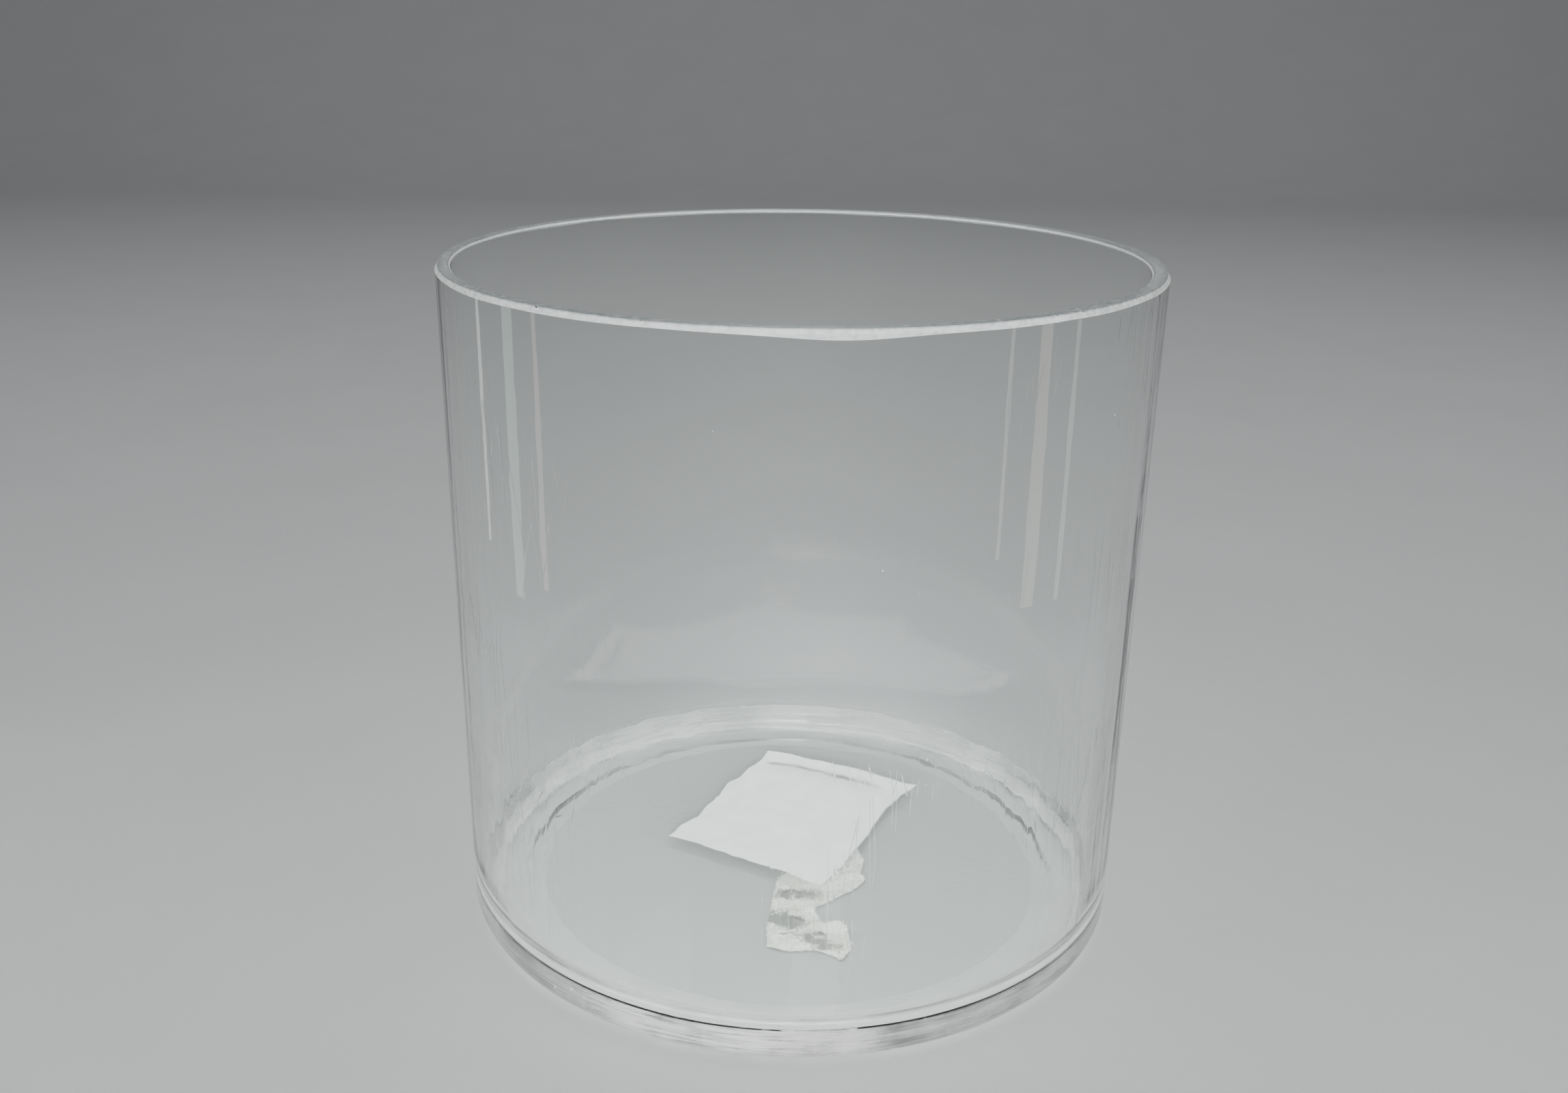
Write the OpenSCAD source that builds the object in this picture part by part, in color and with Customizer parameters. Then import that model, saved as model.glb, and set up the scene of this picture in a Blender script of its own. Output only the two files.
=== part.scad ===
// Tall crystallizing dish: a straight glass cylinder with a flat base and a ground open rim.
// A blank paper label lies on the floor inside, and a torn rest of a label sticks under the base.
// Millimetres, +Z up. The origin is the centre of the resting plane.

/* [Vessel] */
// Outside diameter of the glass wall
outer_d = 200; // [186:1:300]
// Overall height, from the resting plane to the ground rim
vessel_h = 196; // [120:1:300]
// Thickness of the wall
wall_t = 4.4; // [3:0.1:5.5]

/* [Base] */
// Height of the flat floor above the resting plane
base_t = 6.2; // [5:0.1:12]
// Radius of the inside curve between the floor and the wall
floor_fillet_r = 9.5; // [4:0.5:12]
// Radius of the rounded bottom edge outside
heel_r = 5.4; // [2:0.1:6]
// Width of the flat ring that the vessel stands on
resting_ring_w = 8.5; // [4:0.5:14]
// Depth of the shallow recess inside the resting ring
recess_depth = 0.8; // [0.5:0.1:2]
// Width of the slope between the resting ring and the roof of the recess
recess_slope_w = 4; // [1:0.5:10]

/* [Rim] */
// Width of the ground bevel on the outside of the rim
outer_bevel_w = 0.85; // [0.3:0.05:1.2]
// Height of the ground bevel on the outside of the rim
outer_bevel_h = 1.5; // [0.5:0.1:3]
// Width and height of the bevel on the inside of the rim
inner_bevel = 0.65; // [0.2:0.05:1.2]

/* [Paper label] */
// Length of the label
label_l = 72; // [50:1:73]
// Width of the label
label_w = 56; // [35:0.5:57]
// Thickness of the label's paper
label_t = 0.2; // [0.1:0.05:0.5]
// Distance of the label's centre to the right of the vessel's axis
label_x = 1.9; // [-2.5:0.1:2.5]
// Distance of the label's centre behind the vessel's axis
label_y = 25.9; // [0:0.1:26.5]
// Angle of the label's long side, anticlockwise from the right
label_turn = 64.8; // [0:0.1:180]
// Radius of the label's worn corners
label_corner_r = 0.8; // [0.2:0.1:4]

/* [Torn label rest] */
// Thickness of the torn paper
remnant_t = 0.15; // [0.1:0.05:0.25]
// Size of the torn paper against its measured outline
remnant_scale = 1; // [0.6:0.05:1.1]

/* [Hidden] */
round_fn = 180;
small_fn = 48;
cut = 1;

outer_r = outer_d / 2;
inner_r = outer_r - wall_t;
ring_outer_r = outer_r - heel_r;
ring_inner_r = ring_outer_r - resting_ring_w;
recess_r = ring_inner_r - recess_slope_w;

// Torn outline, going round anticlockwise from the hidden corner behind the paper's middle.
// The left side is a straight factory edge; the other sides are torn.
remnant_outline = [
    [6, -3], [-4, -12], [-5, -25], [-6.5, -40.5], [-6, -49.5],
    [1.5, -52], [8, -50.5], [16, -55.5], [19, -49.5], [18, -37.5],
    [15.5, -34.5], [10.5, -36.5], [9, -29], [14, -24], [20, -19],
    [24.5, -12], [23, -8.5], [24.5, -1], [22.5, 7], [14, 5]
];

// Half section of the solid glass block before it is hollowed, with its rounded heel
module outside_section() {
    translate([0, heel_r]) square([outer_r, vessel_h - heel_r]);
    square([ring_outer_r, heel_r + cut]);
    translate([ring_outer_r, heel_r]) circle(r = heel_r, $fn = small_fn);
}

// Half section of the room inside, with the curve between its floor and its wall
module inside_section() {
    flat_r = inner_r - floor_fillet_r;
    curve_top = base_t + floor_fillet_r;
    translate([0, curve_top]) square([inner_r, vessel_h - curve_top + cut]);
    translate([0, base_t]) square([flat_r, floor_fillet_r + cut]);
    translate([flat_r, curve_top]) circle(r = floor_fillet_r, $fn = small_fn);
}

// Half section of what grinding takes off the two edges of the rim
module rim_bevel_section() {
    polygon([
        [outer_r, vessel_h - outer_bevel_h],
        [outer_r + cut, vessel_h - outer_bevel_h],
        [outer_r + cut, vessel_h + cut],
        [outer_r - outer_bevel_w, vessel_h + cut],
        [outer_r - outer_bevel_w, vessel_h]
    ]);
    polygon([
        [inner_r - cut, vessel_h - inner_bevel],
        [inner_r, vessel_h - inner_bevel],
        [inner_r + inner_bevel, vessel_h],
        [inner_r + inner_bevel, vessel_h + cut],
        [inner_r - cut, vessel_h + cut]
    ]);
}

// Half section of the shallow recess under the base
module recess_section() {
    polygon([
        [0, -cut],
        [ring_inner_r, -cut],
        [ring_inner_r, 0],
        [recess_r, recess_depth],
        [0, recess_depth]
    ]);
}

// The whole vessel is one piece of glass, turned from one half section
module vessel() {
    color([0.86, 0.93, 0.91, 0.35])
        rotate_extrude($fn = round_fn)
            difference() {
                intersection() {
                    outside_section();
                    square([outer_r, vessel_h]);
                }
                inside_section();
                rim_bevel_section();
                recess_section();
            }
}

// Flat outline of the label with its worn corners, centred
module label_outline() {
    mid_l = label_l - 2 * label_corner_r;
    mid_w = label_w - 2 * label_corner_r;
    square([label_l, mid_w], center = true);
    square([mid_l, label_w], center = true);
    for (along = [-1, 1], across = [-1, 1])
        translate([along * mid_l / 2, across * mid_w / 2])
            circle(r = label_corner_r, $fn = small_fn);
}

// Blank label, loose on the flat floor
module paper_label() {
    color([0.90, 0.91, 0.92])
        translate([label_x, label_y, base_t])
            rotate([0, 0, label_turn])
                linear_extrude(height = label_t)
                    label_outline();
}

// Torn paper, stuck to the roof of the recess under the base
module label_remnant() {
    color([0.80, 0.79, 0.74])
        translate([0, 0, recess_depth - remnant_t])
            linear_extrude(height = remnant_t)
                polygon(remnant_scale * remnant_outline);
}

vessel();
paper_label();
label_remnant();
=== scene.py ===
"""A tall crystallizing dish of clear glass, with a blank paper label inside and a torn one beneath."""

import logging
import math
from dataclasses import dataclass, field
from enum import Enum
from typing import Callable

import bpy
from mathutils import Matrix, Vector, noise


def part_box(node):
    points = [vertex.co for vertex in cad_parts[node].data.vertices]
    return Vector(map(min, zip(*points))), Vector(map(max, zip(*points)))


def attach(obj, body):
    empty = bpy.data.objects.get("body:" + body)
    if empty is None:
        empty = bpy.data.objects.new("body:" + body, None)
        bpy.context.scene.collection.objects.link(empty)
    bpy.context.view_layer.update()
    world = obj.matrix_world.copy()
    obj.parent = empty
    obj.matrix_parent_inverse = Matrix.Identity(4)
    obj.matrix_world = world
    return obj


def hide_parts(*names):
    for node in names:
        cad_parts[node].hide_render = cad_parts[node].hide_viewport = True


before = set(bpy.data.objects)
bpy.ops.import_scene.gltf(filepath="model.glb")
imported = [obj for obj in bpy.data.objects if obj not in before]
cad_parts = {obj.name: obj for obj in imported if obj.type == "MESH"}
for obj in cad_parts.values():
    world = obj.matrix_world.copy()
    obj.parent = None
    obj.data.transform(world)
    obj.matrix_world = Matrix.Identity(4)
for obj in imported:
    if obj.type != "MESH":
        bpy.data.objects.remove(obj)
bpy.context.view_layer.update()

LOG = logging.getLogger("dish")
MM = 0.001


class Node(str, Enum):
    """The design's nodes that the pieces here stand for."""

    VESSEL = "vessel"
    LABEL = "paper_label"
    REMNANT = "label_remnant"


class Slot(str, Enum):
    """The record's material slots."""

    GLASS = "clear_glass"
    PAPER = "label_paper"
    TORN = "torn_paper"


class GlassFace(int, Enum):
    """The vessel's material slots, in order."""

    CLEAR = 0
    GROUND = 1
    WORN = 2


# ---------------------------------------------------------------- modelling tools


def clear_selection() -> None:
    """Leave edit mode and deselect every object."""
    if bpy.context.object and bpy.context.object.mode != "OBJECT":
        bpy.ops.object.mode_set(mode="OBJECT")
    bpy.ops.object.select_all(action="DESELECT")


def make_active(piece: bpy.types.Object) -> None:
    """Select one object alone and make it the active one.

    Args:
        piece: The object to work on.
    """
    clear_selection()
    piece.select_set(True)
    bpy.context.view_layer.objects.active = piece


def select_faces(piece: bpy.types.Object, test: Callable[[bpy.types.MeshPolygon], bool]) -> None:
    """Select, in edit mode, the faces that pass a test.

    Args:
        piece: The object, which ends in edit mode with only those faces selected.
        test: Says for one face whether it is wanted.
    """
    make_active(piece)
    bpy.ops.object.mode_set(mode="EDIT")
    bpy.ops.mesh.select_mode(type="FACE")
    bpy.ops.mesh.select_all(action="DESELECT")
    bpy.ops.object.mode_set(mode="OBJECT")
    for face in piece.data.polygons:
        face.select = test(face)
    bpy.ops.object.mode_set(mode="EDIT")


def apply_modifier(piece: bpy.types.Object, kind: str, **settings: object) -> None:
    """Add a modifier to a piece and apply it at once.

    Args:
        piece: The object to change.
        kind: The modifier's type.
        settings: The modifier's settings by name.
    """
    make_active(piece)
    modifier = piece.modifiers.new(kind.title(), kind)
    for name, value in settings.items():
        setattr(modifier, name, value)
    bpy.ops.object.modifier_apply(modifier=modifier.name)


def smooth(piece: bpy.types.Object, angle: float) -> None:
    """Shade a piece smooth, but keep edges sharper than an angle crisp.

    Args:
        piece: The object to shade.
        angle: The angle in degrees.
    """
    make_active(piece)
    bpy.ops.object.shade_smooth_by_angle(angle=math.radians(angle))


def arc(centre: tuple[float, float], radius: float, start: float, end: float, steps: int) -> list[tuple[float, float]]:
    """Points along an arc in the half section.

    Args:
        centre: The arc's centre, as radius and height.
        radius: The arc's own radius.
        start: The first angle in degrees, from the outward direction towards up.
        end: The last angle in degrees.
        steps: How many steps the arc takes.

    Returns:
        The points as pairs of radius and height, both ends included.
    """
    points = []
    for step in range(steps + 1):
        angle = math.radians(start + (end - start) * step / steps)
        points.append((centre[0] + radius * math.cos(angle), centre[1] + radius * math.sin(angle)))
    return points


def turned(name: str, section: list[tuple[float, float]], sides: int) -> bpy.types.Object:
    """Model a closed turned solid, ring after ring, from one half section.

    Args:
        name: The new object's name.
        section: The section's points as radius and height, from the underside's middle
            round the outside to the floor's middle.
        sides: How many sides each ring has.

    Returns:
        The closed solid, with its faces outwards.
    """
    clear_selection()
    radius, height = section[0]
    bpy.ops.mesh.primitive_circle_add(vertices=sides, radius=radius, fill_type="NOTHING")
    piece = bpy.context.object
    piece.name = piece.data.name = name
    bpy.ops.object.mode_set(mode="EDIT")
    bpy.ops.transform.translate(value=(0, 0, height))
    for next_radius, next_height in section[1:]:
        rise = (0, 0, next_height - height)
        bpy.ops.mesh.extrude_region_move(TRANSFORM_OT_translate={"value": rise})
        ratio = next_radius / radius
        bpy.ops.transform.resize(value=(ratio, ratio, 1), center_override=(0, 0, 0))
        radius, height = next_radius, next_height
    bpy.ops.mesh.edge_face_add()
    bpy.ops.mesh.select_all(action="DESELECT")
    bpy.ops.mesh.select_mode(type="VERT")
    bpy.ops.mesh.select_non_manifold()
    bpy.ops.mesh.edge_face_add()
    bpy.ops.mesh.select_all(action="SELECT")
    bpy.ops.mesh.normals_make_consistent(inside=False)
    bpy.ops.object.mode_set(mode="OBJECT")
    return piece


def small_ball(name: str, place: Vector, half: Vector, turn: float, detail: int) -> bpy.types.Object:
    """Model a small rounded body, for a bubble or for the hollow of a chip.

    Args:
        name: The new object's name.
        place: Its centre.
        half: Its three half sizes before it is turned.
        turn: Its turn about the vertical, in radians.
        detail: The number of times its faces are divided.

    Returns:
        The new object, with its place in its mesh.
    """
    clear_selection()
    bpy.ops.mesh.primitive_ico_sphere_add(subdivisions=detail, radius=1.0)
    ball = bpy.context.object
    ball.name = name
    bpy.ops.object.mode_set(mode="EDIT")
    bpy.ops.transform.resize(value=tuple(half), center_override=(0, 0, 0))
    bpy.ops.object.mode_set(mode="OBJECT")
    ball.data.transform(Matrix.Translation(place) @ Matrix.Rotation(turn, 4, "Z"))
    return ball


# ---------------------------------------------------------------- finishes


class Graph:
    """A material's nodes, written with short calls."""

    def __init__(self, name: str) -> None:
        """Start an empty material.

        Args:
            name: The material's name.
        """
        self.material = bpy.data.materials.new(name)
        self.material.use_nodes = True
        self.tree = self.material.node_tree
        self.tree.nodes.clear()
        self.output = self.node("ShaderNodeOutputMaterial")

    def node(self, kind: str, inputs: dict | None = None, **settings: object) -> bpy.types.Node:
        """Add a node.

        Args:
            kind: The node's type.
            inputs: Values, or sockets to wire from, by input name or number.
            settings: The node's own settings by name.

        Returns:
            The new node.
        """
        made = self.tree.nodes.new(kind)
        for name, value in settings.items():
            setattr(made, name, value)
        for key, value in (inputs or {}).items():
            if isinstance(value, bpy.types.NodeSocket):
                self.tree.links.new(value, made.inputs[key])
            else:
                made.inputs[key].default_value = value
        return made

    def place(self, stretch: tuple[float, float, float] = (1, 1, 1), turn: tuple[float, float, float] = (0, 0, 0)) -> bpy.types.NodeSocket:
        """Coordinates fixed to the piece.

        Args:
            stretch: How tightly the pattern repeats along each axis.
            turn: The pattern's turn in radians.

        Returns:
            A vector socket in metres.
        """
        coords = self.node("ShaderNodeTexCoord")
        mapping = self.node("ShaderNodeMapping", {"Vector": coords.outputs["Object"], "Rotation": turn, "Scale": stretch})
        return mapping.outputs["Vector"]

    def noise(self, scale: float, detail: float, place: bpy.types.NodeSocket, rough: float = 0.5) -> bpy.types.NodeSocket:
        """A noise pattern.

        Args:
            scale: How many cells a metre holds.
            detail: How many finer layers it has.
            place: The coordinates to read.
            rough: How strong the finer layers are.

        Returns:
            A number socket from about 0 to 1.
        """
        inputs = {"Vector": place, "Scale": scale, "Detail": detail, "Roughness": rough}
        return self.node("ShaderNodeTexNoise", inputs).outputs["Fac"]

    def spread(self, value: bpy.types.NodeSocket, old: tuple[float, float], new: tuple[float, float]) -> bpy.types.NodeSocket:
        """Map one range of numbers onto another, without going past its ends.

        Args:
            value: The number socket to read.
            old: The range that comes in.
            new: The range that goes out.

        Returns:
            A number socket.
        """
        inputs = {"Value": value, "From Min": old[0], "From Max": old[1], "To Min": new[0], "To Max": new[1]}
        return self.node("ShaderNodeMapRange", inputs).outputs["Result"]

    def blend(self, share: bpy.types.NodeSocket, first: tuple, second: tuple) -> bpy.types.NodeSocket:
        """Mix two colours.

        Args:
            share: How much of the second colour shows.
            first: The first colour, red, green and blue.
            second: The second colour.

        Returns:
            A colour socket.
        """
        mix = self.node("ShaderNodeMix", data_type="RGBA")
        self.tree.links.new(share, mix.inputs["Factor"])
        mix.inputs["A"].default_value = (*first, 1)
        mix.inputs["B"].default_value = (*second, 1)
        return next(s for s in mix.outputs if s.type == "RGBA")

    def maths(self, operation: str, *values: bpy.types.NodeSocket | float) -> bpy.types.NodeSocket:
        """Work out a number from others.

        Args:
            operation: What to do with them.
            values: Numbers, or number sockets.

        Returns:
            A number socket.
        """
        return self.node("ShaderNodeMath", dict(enumerate(values)), operation=operation).outputs[0]

    def bump(self, height: bpy.types.NodeSocket, depth: float, under: bpy.types.NodeSocket | None = None) -> bpy.types.NodeSocket:
        """Relief in the surface.

        Args:
            height: The relief's height from 0 to 1.
            depth: The depth in metres that 1 stands for.
            under: A coarser relief that this one lies on.

        Returns:
            A normal socket.
        """
        inputs = {"Height": height, "Strength": 1.0, "Distance": depth}
        if under is not None:
            inputs["Normal"] = under
        return self.node("ShaderNodeBump", inputs).outputs["Normal"]

    def lamp_lit(self, surface: bpy.types.NodeSocket, tint: tuple) -> bpy.types.NodeSocket:
        """Let the lamps' light pass straight through a glass, so its shadow stays clear.

        Args:
            surface: The glass shader.
            tint: The share of each colour that passes.

        Returns:
            A shader socket.
        """
        lamps = self.node("ShaderNodeBsdfTransparent", {"Color": (*tint, 1)})
        path = self.node("ShaderNodeLightPath")
        inputs = {0: path.outputs["Is Shadow Ray"], 1: surface, 2: lamps.outputs[0]}
        return self.node("ShaderNodeMixShader", inputs).outputs[0]

    def finish(self, surface: bpy.types.NodeSocket) -> bpy.types.Material:
        """Wire the surface shader to the output.

        Args:
            surface: The shader socket.

        Returns:
            The finished material.
        """
        self.tree.links.new(surface, self.output.inputs["Surface"])
        return self.material


@dataclass(frozen=True)
class ClearGlass:
    """Polished clear glass, with drawn ripples, light scratches and faint smears."""

    tint: tuple[float, float, float] = (0.955, 0.975, 0.967)
    lamp_tint: tuple[float, float, float] = (0.90, 0.92, 0.91)
    index: float = 1.5
    ripple_depth: float = 0.00009
    scratch_depth: float = 0.00001
    smear: float = 0.045

    def material(self) -> bpy.types.Material:
        """Build the material."""
        g = Graph("clear_glass")
        ripples = g.noise(70, 2, g.place(stretch=(1, 1, 0.09)))
        draws = g.noise(330, 1, g.place(stretch=(1, 1, 0.16)))
        levels = g.noise(55, 2, g.place(stretch=(0.35, 0.35, 1.6)))
        broad = g.bump(ripples, self.ripple_depth, g.bump(levels, self.ripple_depth * 0.5))
        fine = g.bump(draws, self.ripple_depth * 0.14, broad)
        hairs = g.node(
            "ShaderNodeTexVoronoi",
            {"Vector": g.place(stretch=(1, 1, 0.12), turn=(0.5, 0.3, 0.2)), "Scale": 190},
            feature="DISTANCE_TO_EDGE",
        )
        scratches = g.spread(hairs.outputs["Distance"], (0.0, 0.012), (1, 0))
        patches = g.spread(g.noise(24, 3, g.place()), (0.5, 0.62), (0, 1))
        marks = g.maths("MULTIPLY", scratches, patches)
        relief = g.bump(marks, self.scratch_depth, fine)
        smears = g.spread(g.noise(30, 4, g.place(stretch=(1, 1, 0.4)), 0.6), (0.45, 0.72), (0.0, self.smear))
        roughness = g.maths("MULTIPLY_ADD", marks, 0.08, smears)
        glass = g.node(
            "ShaderNodeBsdfPrincipled",
            {
                "Base Color": (*self.tint, 1),
                "Roughness": roughness,
                "IOR": self.index,
                "Transmission Weight": 1.0,
                "Normal": relief,
            },
        )
        return g.finish(g.lamp_lit(glass.outputs[0], self.lamp_tint))


@dataclass(frozen=True)
class GroundGlass:
    """Glass left matt by the grinding wheel, rougher and less clear on the bevels; its colour is painted lighter on
    the bevels and greyer on the flat top, as painted light and shade.
    """

    # Painted light on the bevels and painted shade on the flat top: two colours for one ground glass.
    bevel_painted_light: tuple[float, float, float] = (0.93, 0.95, 0.95)
    dull: tuple[float, float, float] = (0.60, 0.66, 0.69)
    top: float = 196 * MM
    grain_depth: float = 0.00004

    def material(self) -> bpy.types.Material:
        """Build the material, which tells the bevels from the top by their height."""
        g = Graph("ground_glass")
        up = g.node("ShaderNodeSeparateXYZ", {0: g.place()}).outputs[2]
        # The bevels' share: they are rougher and less clear there, and their colour is painted lighter.
        bevel = g.spread(up, (self.top - 0.0001, self.top - 0.0004), (0, 0.75))
        blotches = g.spread(g.noise(700, 5, g.place(), 0.75), (0.4, 0.62), (-0.12, 0.40))
        matt = g.maths("ADD", bevel, blotches)
        grain = g.noise(5200, 2, g.place(), 0.7)
        sweeps = g.noise(900, 2, g.place(stretch=(1, 1, 6)))
        surface = g.node(
            "ShaderNodeBsdfPrincipled",
            {
                # Painted light and shade: lighter on the bevels, greyer on the flat top.
                "Base Color": g.blend(matt, self.dull, self.bevel_painted_light),
                "Roughness": g.spread(matt, (0, 1), (0.36, 0.55)),
                "IOR": 1.5,
                "Transmission Weight": g.spread(matt, (0, 1), (0.82, 0.40)),
                "Normal": g.bump(grain, self.grain_depth, g.bump(sweeps, self.grain_depth)),
            },
        )
        return g.finish(surface.outputs[0])


@dataclass(frozen=True)
class WornGlass:
    """Glass rubbed dull round the heel and a little under the resting ring, and whiter towards the front."""

    scuffed: tuple[float, float, float] = (0.97, 0.975, 0.97)
    clear: tuple[float, float, float] = (0.955, 0.975, 0.967)
    lamp_tint: tuple[float, float, float] = (0.90, 0.92, 0.91)
    top: float = 11.2 * MM
    front: tuple[float, float] = (-0.174, -0.985)
    sides: float = 0.36
    under: float = 0.17
    scuff_depth: float = 0.00003

    def material(self) -> bpy.types.Material:
        """Build the material, with its scuffs running round the vessel's axis."""
        g = Graph("worn_glass")
        parts = g.node("ShaderNodeSeparateXYZ", {0: g.place()})
        across, behind, up = parts.outputs
        total = g.maths("ADD", g.maths("MULTIPLY", across, across), g.maths("MULTIPLY", behind, behind))
        radius = g.maths("SQRT", total)
        bearing = g.maths("ARCTAN2", behind, across)
        wrap = {0: g.maths("MULTIPLY", bearing, 0.004), 1: up, 2: radius}
        lines = g.noise(1500, 3, g.node("ShaderNodeCombineXYZ", wrap).outputs[0], 0.65)
        patches = g.noise(48, 3, g.place(), 0.6)
        streaks = g.spread(g.maths("ADD", lines, patches), (0.80, 1.08), (0.25, 1))
        # Whiter towards the front, the side that faces the camera.
        facing = g.maths("MULTIPLY_ADD", behind, self.front[1], g.maths("MULTIPLY", across, self.front[0]))
        front = g.spread(g.maths("DIVIDE", facing, radius), (0.89, 0.985), (self.sides, 1))
        side = g.spread(radius, (93 * MM, 95 * MM), (0, 1))
        below = g.spread(up, (self.top, self.top - 0.4 * MM), (0, 1))
        outside = g.maths("MULTIPLY", g.maths("MULTIPLY", side, below), front)
        amount = g.maths("MULTIPLY", g.maths("MAXIMUM", outside, self.under), streaks)
        amount = g.maths("MULTIPLY", amount, below)
        surface = g.node(
            "ShaderNodeBsdfPrincipled",
            {
                "Base Color": g.blend(amount, self.clear, self.scuffed),
                "Roughness": g.spread(amount, (0, 1), (0.02, 0.6)),
                "IOR": 1.5,
                "Transmission Weight": g.spread(amount, (0, 1), (1.0, 0.1)),
                "Normal": g.bump(lines, self.scuff_depth),
            },
        )
        return g.finish(g.lamp_lit(surface.outputs[0], self.lamp_tint))


@dataclass(frozen=True)
class LabelPaper:
    """White uncoated paper, with painted shade along the fold where its far edge curls up."""

    white: tuple[float, float, float] = (0.90, 0.905, 0.91)
    shade: tuple[float, float, float] = (0.82, 0.825, 0.835)
    # Painted shade: the grey laid along the fold where the far edge curls up.
    fold: tuple[float, float, float] = (0.24, 0.25, 0.26)
    fibre_depth: float = 0.00003

    def material(self) -> bpy.types.Material:
        """Build the material."""
        g = Graph("label_paper")
        clouds = g.spread(g.noise(130, 5, g.place(), 0.6), (0.35, 0.65), (0, 1))
        body = g.blend(clouds, self.shade, self.white)
        # The fold's painted shade, stored on the mesh, mixes this grey in.
        painted_fold_shade = g.node("ShaderNodeAttribute", attribute_name="painted_fold_shade")
        tone = g.node("ShaderNodeMix", data_type="RGBA")
        g.tree.links.new(painted_fold_shade.outputs["Fac"], tone.inputs["Factor"])
        g.tree.links.new(body, next(s for s in tone.inputs if s.name == "A" and s.type == "RGBA"))
        next(s for s in tone.inputs if s.name == "B" and s.type == "RGBA").default_value = (*self.fold, 1)
        fibres = g.noise(1500, 4, g.place(stretch=(1, 0.35, 1), turn=(0, 0, 0.7)), 0.7)
        surface = g.node(
            "ShaderNodeBsdfPrincipled",
            {
                "Base Color": next(s for s in tone.outputs if s.type == "RGBA"),
                "Roughness": g.spread(fibres, (0.3, 0.7), (0.74, 0.92)),
                "Normal": g.bump(fibres, self.fibre_depth),
            },
        )
        return g.finish(surface.outputs[0])


@dataclass(frozen=True)
class TornPaper:
    """Torn paper fibre, off-white where it is thick and a thin grey film where it is worn."""

    thick: tuple[float, float, float] = (0.95, 0.94, 0.88)
    thin: tuple[float, float, float] = (0.70, 0.69, 0.63)
    film: tuple[float, float, float] = (0.885, 0.885, 0.87)

    def material(self) -> bpy.types.Material:
        """Build the material."""
        g = Graph("torn_paper")
        wear = g.node("ShaderNodeAttribute", attribute_name="wear")
        flecks = g.noise(900, 5, g.place(), 0.7)
        clouds = g.noise(160, 4, g.place(), 0.6)
        clear = g.spread(g.maths("MULTIPLY_ADD", flecks, 2.2, wear.outputs["Fac"]), (1.15, 1.85), (0.0, 0.97))
        paper = g.node(
            "ShaderNodeBsdfPrincipled",
            {
                "Base Color": g.blend(g.spread(clouds, (0.35, 0.65), (0, 1)), self.thin, self.thick),
                "Roughness": g.spread(flecks, (0.3, 0.7), (0.7, 0.95)),
                "Normal": g.bump(flecks, 0.00008),
            },
        )
        gap = g.node("ShaderNodeBsdfTransparent", {"Color": (*self.film, 1)})
        surface = g.node("ShaderNodeMixShader", {0: clear, 1: paper.outputs[0], 2: gap.outputs[0]})
        return g.finish(surface.outputs[0])


@dataclass(frozen=True)
class StudioSweep:
    """Pale matt studio paper."""

    pale: tuple[float, float, float] = (0.385, 0.39, 0.395)
    dark: tuple[float, float, float] = (0.372, 0.377, 0.382)

    def material(self) -> bpy.types.Material:
        """Build the material."""
        g = Graph("studio_sweep")
        clouds = g.spread(g.noise(14, 4, g.place(), 0.6), (0.3, 0.7), (0, 1))
        tooth = g.noise(1400, 2, g.place())
        surface = g.node(
            "ShaderNodeBsdfPrincipled",
            {
                "Base Color": g.blend(clouds, self.dark, self.pale),
                "Roughness": 0.85,
                "Normal": g.bump(tooth, 0.00008),
            },
        )
        return g.finish(surface.outputs[0])


# ---------------------------------------------------------------- the vessel


@dataclass(frozen=True)
class Chip:
    """A small shell-shaped break in the rim."""

    bearing: float
    width: float
    depth: float
    height: float


@dataclass(frozen=True)
class Seed:
    """A small bubble in the glass."""

    bearing: float
    radius: float
    height: float
    size: float
    stretch: float = 1.0


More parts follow.
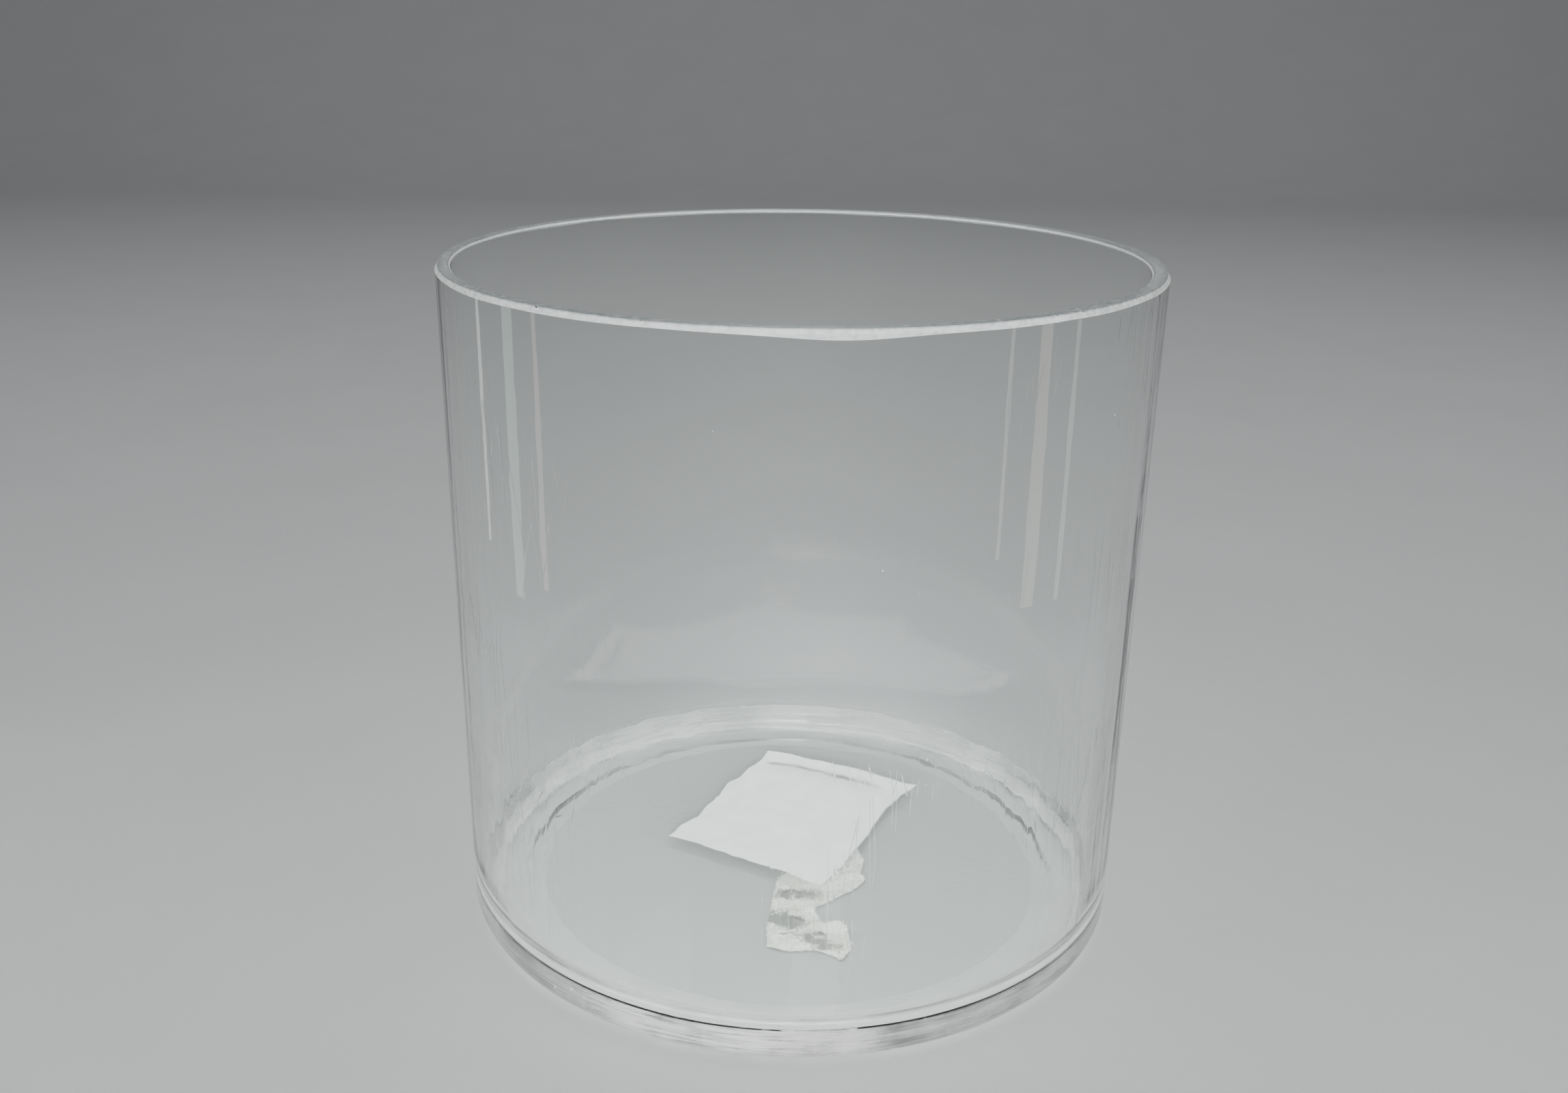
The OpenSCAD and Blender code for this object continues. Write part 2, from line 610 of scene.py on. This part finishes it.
@dataclass
class Vessel:
    """The one piece of glass, turned ring by ring and then given its small faults.

    The radius, the height and the floor come from the design. All sizes are in metres.
    """

    outer_r: float
    height: float
    floor_z: float
    wall: float = 4.4 * MM
    fillet_r: float = 9.5 * MM
    heel_r: float = 5.4 * MM
    ring_w: float = 8.5 * MM
    slope_w: float = 4 * MM
    recess: float = 0.77 * MM
    worn_top: float = 11.5 * MM
    bevel_w: float = 0.85 * MM
    bevel_h: float = 1.5 * MM
    inner_bevel: float = 0.65 * MM
    sides: int = 720
    off_centre: float = 0.35 * MM
    chips: tuple[Chip, ...] = (
        Chip(-127.7, 2.2 * MM, 0.90 * MM, 1.0 * MM),
        Chip(-110.4, 1.8 * MM, 0.75 * MM, 0.8 * MM),
        Chip(-53.9, 1.7 * MM, 0.95 * MM, 1.2 * MM),
        Chip(-48.8, 2.6 * MM, 0.85 * MM, 0.9 * MM),
        Chip(38.0, 1.8 * MM, 0.70 * MM, 0.8 * MM),
        Chip(133.0, 2.2 * MM, 0.80 * MM, 0.9 * MM),
    )
    seeds: tuple[Seed, ...] = (
        Seed(-127.2, 96.2 * MM, 6.8 * MM, 0.75 * MM, 1.3),
        Seed(-130.9, 96.8 * MM, 4.6 * MM, 0.70 * MM, 1.2),
        Seed(-66.0, 88.0 * MM, 5.2 * MM, 0.35 * MM),
        Seed(20.0, 60.0 * MM, 5.6 * MM, 0.30 * MM),
        Seed(-12.0, 97.6 * MM, 41.0 * MM, 0.28 * MM, 2.2),
        Seed(-70.0, 97.8 * MM, 88.0 * MM, 0.32 * MM, 2.4),
        Seed(-78.0, 97.9 * MM, 139.0 * MM, 0.40 * MM, 1.2),
        Seed(61.0, 97.8 * MM, 63.0 * MM, 0.30 * MM, 2.0),
        Seed(108.0, 97.7 * MM, 120.0 * MM, 0.26 * MM, 2.6),
        Seed(160.0, 97.8 * MM, 150.0 * MM, 0.30 * MM, 1.8),
        Seed(-155.0, 97.8 * MM, 71.0 * MM, 0.28 * MM, 2.2),
        Seed(-38.0, 97.8 * MM, 168.0 * MM, 0.25 * MM, 2.0),
    )
    piece: bpy.types.Object = field(init=False, default=None)

    @property
    def inner_r(self) -> float:
        """The radius of the room inside."""
        return self.outer_r - self.wall

    def section(self) -> list[tuple[float, float]]:
        """The half section, from the underside's middle round to the floor's middle.

        Returns:
            The points as radius and height.
        """
        ring_out = self.outer_r - self.heel_r
        ring_in = ring_out - self.ring_w
        roof_r = ring_in - self.slope_w
        points = [(share * roof_r, self.recess) for share in (0.12, 0.4, 0.7, 0.9, 0.95, 1.0)]
        for step in range(1, 7):
            share = step / 6
            fall = self.recess * (1 + math.cos(math.pi * share)) / 2
            points.append((roof_r + self.slope_w * share, fall))
        points += [(ring_in + self.ring_w * 0.5, 0.0)]
        points += arc((ring_out, self.heel_r), self.heel_r, -90, 0, 16)
        bevel_foot = self.height - self.bevel_h
        rows = 26
        points.append((self.outer_r, self.worn_top))
        for step in range(1, rows):
            points.append((self.outer_r, self.worn_top + (bevel_foot - self.worn_top) * step / rows))
        points.append((self.outer_r, bevel_foot))
        top_out = self.outer_r - self.bevel_w
        for share in (0.25, 0.5, 0.75, 1.0):
            points.append((self.outer_r - self.bevel_w * share, bevel_foot + self.bevel_h * share))
        top_in = self.inner_r + self.inner_bevel
        for share in (0.25, 0.5, 0.75, 1.0):
            points.append((top_out + (top_in - top_out) * share, self.height))
        points.append((self.inner_r + self.inner_bevel / 2, self.height - self.inner_bevel / 2))
        points.append((self.inner_r, self.height - self.inner_bevel))
        curve_top = self.floor_z + self.fillet_r
        drop = self.height - self.inner_bevel - curve_top
        for step in range(1, rows):
            points.append((self.inner_r, self.height - self.inner_bevel - drop * step / rows))
        flat_r = self.inner_r - self.fillet_r
        points += arc((flat_r, curve_top), self.fillet_r, 0, -90, 14)
        points += [(share * flat_r, self.floor_z) for share in (0.93, 0.8, 0.6, 0.35, 0.12)]
        return points

    def extra_bevel(self, bearing: float) -> float:
        """How much deeper than usual the grinding reaches down outside, at a bearing.

        Args:
            bearing: The bearing in radians.

        Returns:
            The extra height in metres.
        """
        wide = math.exp(-(((math.degrees(bearing) + 83) / 9.0) ** 2))
        waver = noise.noise(Vector((math.cos(bearing) * 4, math.sin(bearing) * 4, 0.3)))
        return 1.0 * MM * wide + 0.28 * MM * waver

    def irregular(self) -> None:
        """Give the turned shape the small faults of drawn and hand-ground glass."""
        bevel_foot = self.height - self.bevel_h
        mid_r = self.outer_r - self.wall / 2
        for vertex in self.piece.data.vertices:
            x, y, z = vertex.co
            radius, bearing = math.hypot(x, y), math.atan2(y, x)
            if z < self.floor_z - 1e-6 and radius < self.outer_r - self.heel_r:
                continue
            if radius > self.outer_r - 1e-5 and abs(z - bevel_foot) < 1e-5:
                vertex.co.z -= self.extra_bevel(bearing)
                continue
            if radius < mid_r and z > self.floor_z + 1e-5:
                rise = min(1.0, (z - self.floor_z) / self.fillet_r)
                across = Vector((math.cos(bearing) * 7, math.sin(bearing) * 7, z * 7))
                along = Vector((math.cos(bearing) * 22, math.sin(bearing) * 22, z * 4))
                wave = 0.075 * noise.noise(across) + 0.018 * noise.noise(along)
                radius += wave * MM * rise
                vertex.co.x = radius * math.cos(bearing) - self.off_centre * rise
                vertex.co.y = radius * math.sin(bearing)
            elif radius < self.inner_r - self.fillet_r and abs(z - self.floor_z) < 1e-5:
                vertex.co.z -= 0.05 * MM * (0.5 + 0.5 * noise.noise(Vector((x * 26, y * 26, 0))))

    def is_ground(self, face: bpy.types.MeshPolygon) -> bool:
        """Say whether a face was left matt by grinding.

        Args:
            face: The face to test.

        Returns:
            True for the rim's flat top and its two bevels.
        """
        centre, normal = face.center, face.normal
        outwards = Vector((centre.x, centre.y, 0)).normalized()
        if centre.z < self.height - self.bevel_h - 3 * MM:
            return False
        return normal.z > 0.2 or (normal.z > 0.08 and normal.dot(outwards) > 0)

    def is_worn(self, face: bpy.types.MeshPolygon) -> bool:
        """Say whether a face is scuffed white under the foot.

        Args:
            face: The face to test.

        Returns:
            True for the resting ring, its slope and the edges beside them.
        """
        centre = face.center
        radius = math.hypot(centre.x, centre.y)
        if radius > self.outer_r - self.heel_r * 0.7:
            return centre.z < self.worn_top and face.normal.z < 0.01
        return centre.z < self.heel_r and radius > self.outer_r * 0.78 and face.normal.z < -0.5

    def break_chips(self) -> None:
        """Break the chips out of the rim's edges."""
        for number, chip in enumerate(self.chips):
            bearing = math.radians(chip.bearing)
            spot = self.outer_r - self.bevel_w * 0.45
            place = Vector((spot * math.cos(bearing), spot * math.sin(bearing), self.height - chip.height * 0.25))
            half = Vector((chip.depth, chip.width / 2, chip.height))
            tool = small_ball(f"chip_tool_{number}", place, half, bearing, 3)
            for vertex in tool.data.vertices:
                rough = noise.noise((vertex.co - place) * 900 + Vector((number, 0, 0)))
                vertex.co += (vertex.co - place) * 0.45 * rough
            apply_modifier(self.piece, "BOOLEAN", operation="DIFFERENCE", solver="EXACT", object=tool)
            bpy.data.objects.remove(tool)

    def sow_seeds(self) -> None:
        """Put the bubbles into the glass, as hollows with their faces turned to their middle."""
        made = []
        for number, seed in enumerate(self.seeds):
            bearing = math.radians(seed.bearing)
            place = Vector((seed.radius * math.cos(bearing), seed.radius * math.sin(bearing), seed.height))
            half = Vector((seed.size * 0.8, seed.size, seed.size * seed.stretch)) / 2
            bubble = small_ball(f"seed_{number}", place, half, bearing, 3)
            bpy.ops.object.mode_set(mode="EDIT")
            bpy.ops.mesh.select_all(action="SELECT")
            bpy.ops.mesh.flip_normals()
            smooth(bubble, 40)
            made.append(bubble)
        clear_selection()
        for bubble in made:
            bubble.select_set(True)
        self.piece.select_set(True)
        bpy.context.view_layer.objects.active = self.piece
        bpy.ops.object.join()

    def build(self) -> None:
        """Model the vessel."""
        self.piece = turned("glass_vessel", self.section(), self.sides)
        self.irregular()
        self.piece.data.materials.append(ClearGlass().material())
        self.piece.data.materials.append(GroundGlass().material())
        self.piece.data.materials.append(WornGlass().material())
        self.break_chips()
        for slot, test in ((GlassFace.GROUND, self.is_ground), (GlassFace.WORN, self.is_worn)):
            select_faces(self.piece, test)
            self.piece.active_material_index = slot
            bpy.ops.object.material_slot_assign()
        smooth(self.piece, 7.5)
        self.sow_seeds()

    def dress(self) -> None:
        """Tie the vessel to the design."""
        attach(self.piece, "root")
        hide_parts(Node.VESSEL.value)


# ---------------------------------------------------------------- the papers


def store(piece: bpy.types.Object, name: str, value: Callable[[Vector], float]) -> None:
    """Store a number for every corner point of a piece, for its finish to read.

    Args:
        piece: The piece.
        name: The attribute's name.
        value: Gives the number for a place.
    """
    layer = piece.data.attributes.new(name, "FLOAT", "POINT")
    for index, vertex in enumerate(piece.data.vertices):
        layer.data[index].value = value(vertex.co)


@dataclass
class PaperLabel:
    """The blank label that lies on the floor, its far edge curling up.

    Its own directions are along, from its near end to its far end, and across, to its left.
    """

    floor_z: float
    centre: tuple[float, float] = (1.9 * MM, 25.9 * MM)
    turn: float = 64.8
    length: float = 72 * MM
    width: float = 56 * MM
    thickness: float = 0.14 * MM
    lift: float = 0.03 * MM
    curl: float = 0.9 * MM
    fold_at: float = 28.5 * MM
    piece: bpy.types.Object = field(init=False, default=None)

    def fold_line(self, across: float) -> float:
        """Where the soft fold near the far edge runs.

        Args:
            across: The place across the label.

        Returns:
            The fold's place along the label.
        """
        side = 2 * across / self.width
        return self.fold_at + 1.6 * MM * (1 - side * side) - 3.5 * MM * max(0.0, abs(side) - 0.55)

    def shaped(self, spot: Vector) -> Vector:
        """Move a point of the flat sheet to where it lies on the real, handled one.

        Args:
            spot: The point on the flat sheet.

        Returns:
            The moved point.
        """
        along, across = spot.x, spot.y
        side, end = 2 * across / self.width, 2 * along / self.length
        edge = max(0.0, side) ** 6
        wavy = 0.7 * MM * math.sin(along * 150 + 0.6) + 0.4 * MM * math.sin(along * 410)
        near, far = max(0.0, -end) ** 2, max(0.0, end) ** 2
        moved = Vector((along, across + edge * wavy, 0))
        moved.x += (2.0 * side * near - (1.4 + 0.3 * side) * far) * MM
        moved.y += (1.4 * near - (2.0 - 0.6 * side) * far) * MM
        moved.y += 0.9 * MM * math.sin(end * 2.6 + 0.4) * max(0.0, -side) ** 5
        moved.x += 2.6 * MM * (1 - side * side) * max(0.0, end) ** 8 - 0.8 * MM * max(0.0, end) ** 8
        moved.x += 0.9 * MM * (1 - side * side) * max(0.0, -end) ** 8
        beyond = max(0.0, along - self.fold_line(across))
        moved.z = self.curl * (beyond / (7 * MM)) ** 1.5 * (0.45 + 0.55 * math.cos(side * 1.2))
        moved.z += 0.3 * MM * max(0.0, -end - 0.55) ** 2 * (1.2 - side)
        nub = max(0.0, end - 0.94) * max(0.0, -side - 0.90) / 0.006
        moved.x += 1.2 * MM * nub
        moved.y -= 0.8 * MM * nub
        moved.z += 0.12 * MM * (0.5 + 0.5 * noise.noise(Vector((along * 55, across * 55, 2))))
        return moved

    def painted_fold_shade(self, spot: Vector) -> float:
        """How strongly the painted shade along the fold shows at a point of the flat sheet.

        Args:
            spot: The point on the flat sheet.

        Returns:
            A number from 0 to 1.
        """
        off = (spot.x - self.fold_line(spot.y)) / (1.1 * MM)
        side = 2 * spot.y / self.width
        broken = 0.75 + 0.5 * noise.noise(Vector((spot.x * 300, spot.y * 140, 0)))
        reach = min(1.0, max(0.0, (side + 0.75) / 0.35)) * min(1.0, max(0.0, (0.93 - side) / 0.1))
        # A softer, wider band of painted shade on the fold's near side.
        soft = 0.16 * math.exp(-(((off + 2.5) / 3.5) ** 2)) * (1 - side**4)
        return math.exp(-off * off) * reach * broken + soft

    def build(self) -> None:
        """Model the label flat, then shape it and lay it on the floor."""
        clear_selection()
        bpy.ops.mesh.primitive_grid_add(x_subdivisions=142, y_subdivisions=111, size=1)
        self.piece = bpy.context.object
        self.piece.name = self.piece.data.name = "blank_label"
        bpy.ops.object.mode_set(mode="EDIT")
        bpy.ops.transform.resize(value=(self.length, self.width, 1), center_override=(0, 0, 0))
        bpy.ops.object.mode_set(mode="OBJECT")
        # The painted shade along the fold, stored for the paper's finish.
        store(self.piece, "painted_fold_shade", self.painted_fold_shade)
        for vertex in self.piece.data.vertices:
            vertex.co = self.shaped(vertex.co)
        apply_modifier(self.piece, "SOLIDIFY", thickness=self.thickness, offset=1.0)
        lowest = min(vertex.co.z for vertex in self.piece.data.vertices)
        place = Vector((*self.centre, self.floor_z + self.lift - lowest))
        self.piece.data.transform(Matrix.Translation(place) @ Matrix.Rotation(math.radians(self.turn), 4, "Z"))
        self.piece.data.materials.append(LabelPaper().material())
        smooth(self.piece, 50)

    def dress(self) -> None:
        """Tie the label to the design."""
        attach(self.piece, "root")
        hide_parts(Node.LABEL.value)


@dataclass(frozen=True)
class WornSpot:
    """A part of the torn paper that is worn thin, as a turned ellipse."""

    x: float
    y: float
    half_x: float
    half_y: float
    turn: float
    strength: float

    def at(self, spot: Vector) -> float:
        """How worn a place is.

        Args:
            spot: The place.

        Returns:
            A number from 0, thick, to the spot's strength.
        """
        angle = math.radians(self.turn)
        dx, dy = spot.x - self.x, spot.y - self.y
        u = (dx * math.cos(angle) + dy * math.sin(angle)) / self.half_x
        v = (-dx * math.sin(angle) + dy * math.cos(angle)) / self.half_y
        return self.strength / (1 + (u * u + v * v) ** 2.5)


@dataclass
class TornRest:
    """What is left of a label under the base, against the roof of the recess."""

    roof_z: float
    thickness: float = 0.08 * MM
    pucker: float = 0.06 * MM
    cell: float = 0.4 * MM
    outline: tuple[tuple[float, float], ...] = (
        (6, -3), (-4, -12), (-5, -25), (-6.5, -40.5), (-6, -49.5),
        (1.5, -52), (8, -50.5), (16, -55.5), (19, -49.5), (18, -37.5),
        (15.5, -34.5), (10.5, -36.5), (9, -29), (14, -24), (20, -19),
        (24.5, -12), (23, -8.5), (24.5, -1), (22.5, 7), (14, 5),
    )
    worn: tuple[WornSpot, ...] = (
        WornSpot(2.4 * MM, -21.4 * MM, 8.0 * MM, 2.6 * MM, 3, 0.85),
        WornSpot(-0.8 * MM, -35.7 * MM, 6.0 * MM, 3.9 * MM, -12, 1.15),
        WornSpot(9.9 * MM, -46.6 * MM, 5.4 * MM, 2.8 * MM, -32, 0.95),
        WornSpot(0.5 * MM, -42.6 * MM, 6.5 * MM, 0.6 * MM, -10, 0.6),
        WornSpot(12.1 * MM, -5.0 * MM, 7.0 * MM, 4.0 * MM, 30, 0.5),
    )
    piece: bpy.types.Object = field(init=False, default=None)

    def holds(self, spot: Vector) -> bool:
        """Say whether a place lies within the torn outline.

        Args:
            spot: The place.

        Returns:
            True inside the outline.
        """
        tear = 0.5 * MM * noise.noise(Vector((spot.x * 900, spot.y * 900, 5)))
        x, y = spot.x + tear, spot.y + 1.6 * tear
        inside = False
        last_x, last_y = self.outline[-1]
        for next_x, next_y in self.outline:
            ax, ay, bx, by = last_x * MM, last_y * MM, next_x * MM, next_y * MM
            if (ay > y) != (by > y) and x < (bx - ax) * (y - ay) / (by - ay) + ax:
                inside = not inside
            last_x, last_y = next_x, next_y
        return inside

    def wear(self, spot: Vector) -> float:
        """How worn the paper is at a place.

        Args:
            spot: The place.

        Returns:
            A number from 0 to about 1.3.
        """
        ragged = spot + noise.noise_vector(spot * 330) * 2.6 * MM
        return min(1.3, sum(worn.at(ragged) for worn in self.worn))

    def build(self) -> None:
        """Model the torn paper as a fine sheet cut back to its outline."""
        xs = [x * MM for x, _ in self.outline]
        ys = [y * MM for _, y in self.outline]
        span = Vector((max(xs) - min(xs), max(ys) - min(ys), 0))
        middle = Vector(((max(xs) + min(xs)) / 2, (max(ys) + min(ys)) / 2, self.roof_z))
        clear_selection()
        across, along = round(span.x / self.cell), round(span.y / self.cell)
        bpy.ops.mesh.primitive_grid_add(x_subdivisions=across, y_subdivisions=along, size=1)
        self.piece = bpy.context.object
        self.piece.name = self.piece.data.name = "torn_label"
        bpy.ops.object.mode_set(mode="EDIT")
        bpy.ops.transform.resize(value=(span.x, span.y, 1), center_override=(0, 0, 0))
        bpy.ops.transform.translate(value=middle)
        select_faces(self.piece, lambda face: not self.holds(face.center))
        bpy.ops.mesh.delete(type="FACE")
        bpy.ops.mesh.select_all(action="SELECT")
        bpy.ops.mesh.region_to_loop()
        bpy.ops.mesh.vertices_smooth(factor=0.5, repeat=4)
        bpy.ops.object.mode_set(mode="OBJECT")
        store(self.piece, "wear", self.wear)
        for vertex in self.piece.data.vertices:
            drop = 0.5 + 0.5 * noise.noise(Vector((vertex.co.x * 240, vertex.co.y * 240, 9)))
            vertex.co.z -= self.pucker * drop
        apply_modifier(self.piece, "SOLIDIFY", thickness=self.thickness, offset=-1.0)
        self.piece.data.materials.append(TornPaper().material())
        smooth(self.piece, 50)

    def dress(self) -> None:
        """Tie the torn paper to the design."""
        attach(self.piece, "root")
        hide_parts(Node.REMNANT.value)


# ---------------------------------------------------------------- the studio


@dataclass(frozen=True)
class Softbox:
    """A flat studio lamp aimed at the vessel."""

    name: str
    place: tuple[float, float, float]
    aim: tuple[float, float, float]
    width: float
    height: float
    power: float
    warmth: tuple[float, float, float] = (1, 1, 1)

    def add(self) -> None:
        """Put the lamp into the scene."""
        lamp = bpy.data.lights.new(self.name, "AREA")
        lamp.shape = "RECTANGLE"
        lamp.size, lamp.size_y = self.width, self.height
        lamp.energy = self.power
        lamp.color = self.warmth
        holder = bpy.data.objects.new(self.name, lamp)
        bpy.context.scene.collection.objects.link(holder)
        holder.location = self.place
        holder.visible_camera = False
        holder.visible_transmission = False
        direction = Vector(self.aim) - Vector(self.place)
        holder.rotation_euler = direction.to_track_quat("-Z", "Y").to_euler()


@dataclass
class Studio:
    """The pale sweep, the sky and the lamps."""

    half_width: float = 2.4
    front: float = -2.6
    back: float = 1.7
    curve_r: float = 0.9
    wall_h: float = 2.2
    floor_drop: float = 0.15 * MM
    sky: tuple[float, float, float] = (0.30, 0.305, 0.31)
    sky_power: float = 0.72
    lamps: tuple[Softbox, ...] = (
        Softbox("key", (-0.30, -1.25, 1.20), (0, 0, 0.08), 0.55, 0.55, 20),
        Softbox("fill", (1.3, -0.7, 0.9), (0, 0, 0.08), 0.8, 0.8, 5.8),
        Softbox("top", (0.1, 0.45, 1.6), (0, 0.2, 0.05), 1.2, 0.8, 13),
        Softbox("lens", (0.0, -0.62, 0.43), (0, 0, 0.08), 0.06, 0.06, 2.6),
        Softbox("left_a", (-0.35, -0.03, 0.20), (0, 0, 0.20), 0.030, 0.38, 0.075, (0.70, 1.0, 0.86)),
        Softbox("left_b", (-0.36, -0.10, 0.20), (0, 0, 0.20), 0.012, 0.38, 0.03, (1.0, 0.84, 0.78)),
        Softbox("left_c", (-0.34, 0.06, 0.21), (0, 0, 0.20), 0.010, 0.36, 0.025),
        Softbox("right_a", (0.34, -0.14, 0.20), (0, 0, 0.20), 0.026, 0.38, 0.065, (0.98, 0.94, 0.78)),
        Softbox("right_b", (0.36, -0.07, 0.20), (0, 0, 0.20), 0.012, 0.38, 0.03, (0.68, 1.0, 0.86)),
        Softbox("right_c", (0.32, -0.21, 0.21), (0, 0, 0.20), 0.009, 0.36, 0.025),
    )

    def add_sweep(self) -> None:
        """Model the floor, with its far edge curving up into a wall."""
        clear_selection()
        bpy.ops.mesh.primitive_plane_add(size=1)
        sweep = bpy.context.object
        sweep.name = sweep.data.name = "studio_sweep"
        depth = self.back - self.front
        bpy.ops.object.mode_set(mode="EDIT")
        bpy.ops.transform.resize(value=(2 * self.half_width, depth, 1), center_override=(0, 0, 0))
        bpy.ops.transform.translate(value=(0, (self.back + self.front) / 2, -self.floor_drop))
        bpy.ops.mesh.select_all(action="DESELECT")
        bpy.ops.mesh.select_mode(type="EDGE")
        bpy.ops.object.mode_set(mode="OBJECT")
        for edge in sweep.data.edges:
            ends = [sweep.data.vertices[index].co.y for index in edge.vertices]
            edge.select = min(ends) > self.back - 1e-4
        bpy.ops.object.mode_set(mode="EDIT")
        steps = 16
        for step in range(steps):
            first, last = (math.pi / 2 * share / steps for share in (step, step + 1))
            move = (
                0,
                self.curve_r * (math.sin(last) - math.sin(first)),
                self.curve_r * (math.cos(first) - math.cos(last)),
            )
            bpy.ops.mesh.extrude_region_move(TRANSFORM_OT_translate={"value": move})
        bpy.ops.mesh.extrude_region_move(TRANSFORM_OT_translate={"value": (0, 0, self.wall_h)})
        bpy.ops.mesh.select_all(action="SELECT")
        bpy.ops.mesh.normals_make_consistent(inside=False)
        bpy.ops.object.mode_set(mode="OBJECT")
        bpy.ops.object.shade_smooth()
        sweep.data.materials.append(StudioSweep().material())

    def add_sky(self) -> None:
        """Fill the rest of the room with soft grey light."""
        world = bpy.data.worlds.new("studio")
        world.use_nodes = True
        sky = world.node_tree.nodes["Background"]
        sky.inputs["Color"].default_value = (*self.sky, 1)
        sky.inputs["Strength"].default_value = self.sky_power
        bpy.context.scene.world = world

    def add(self) -> None:
        """Build the whole studio."""
        self.add_sweep()
        self.add_sky()
        for lamp in self.lamps:
            lamp.add()


@dataclass(frozen=True)
class Viewpoint:
    """The camera, in the vessel's own frame, with angles in degrees."""

    place: tuple[float, float, float] = (0.0, -429.65 * MM, 263.9 * MM)
    down: float = 21.56
    left: float = 1.61
    roll: float = 0.55
    lens: float = 35.03
    shift: tuple[float, float] = (0.0192, 0.0312)

    def add(self) -> None:
        """Put the camera into the scene and make it the scene's own."""
        down, left, roll = (math.radians(angle) for angle in (self.down, self.left, self.roll))
        forward = Vector((-math.sin(left) * math.cos(down), math.cos(left) * math.cos(down), -math.sin(down)))
        level = forward.cross(Vector((0, 0, 1))).normalized()
        upright = level.cross(forward)
        right = level * math.cos(roll) + upright * math.sin(roll)
        up = upright * math.cos(roll) - level * math.sin(roll)
        data = bpy.data.cameras.new("viewpoint")
        data.lens = self.lens
        data.sensor_width = 36.0
        data.shift_x, data.shift_y = self.shift
        data.clip_start = 0.01
        data.dof.use_dof = False
        camera = bpy.data.objects.new("viewpoint", data)
        bpy.context.scene.collection.objects.link(camera)
        turn = Matrix((right, up, -forward)).transposed().to_4x4()
        camera.matrix_world = Matrix.Translation(Vector(self.place)) @ turn
        bpy.context.scene.camera = camera


# ---------------------------------------------------------------- putting it together


def main() -> None:
    """Build every piece, then the studio round them."""
    logging.basicConfig(level=logging.INFO, format="%(name)s: %(message)s")
    low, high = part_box(Node.VESSEL.value)
    floor_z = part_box(Node.LABEL.value)[0].z
    roof_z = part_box(Node.REMNANT.value)[1].z
    Viewpoint().add()
    assemblies = (
        Vessel(outer_r=(high.x - low.x) / 2, height=high.z, floor_z=floor_z),
        PaperLabel(floor_z=floor_z),
        TornRest(roof_z=roof_z),
    )
    for assembly in assemblies:
        assembly.build()
        assembly.dress()
        piece = assembly.piece
        piece.data.calc_loop_triangles()
        LOG.info("%s: %d triangles", piece.name, len(piece.data.loop_triangles))
    Studio().add()


if __name__ == "__main__":
    main()
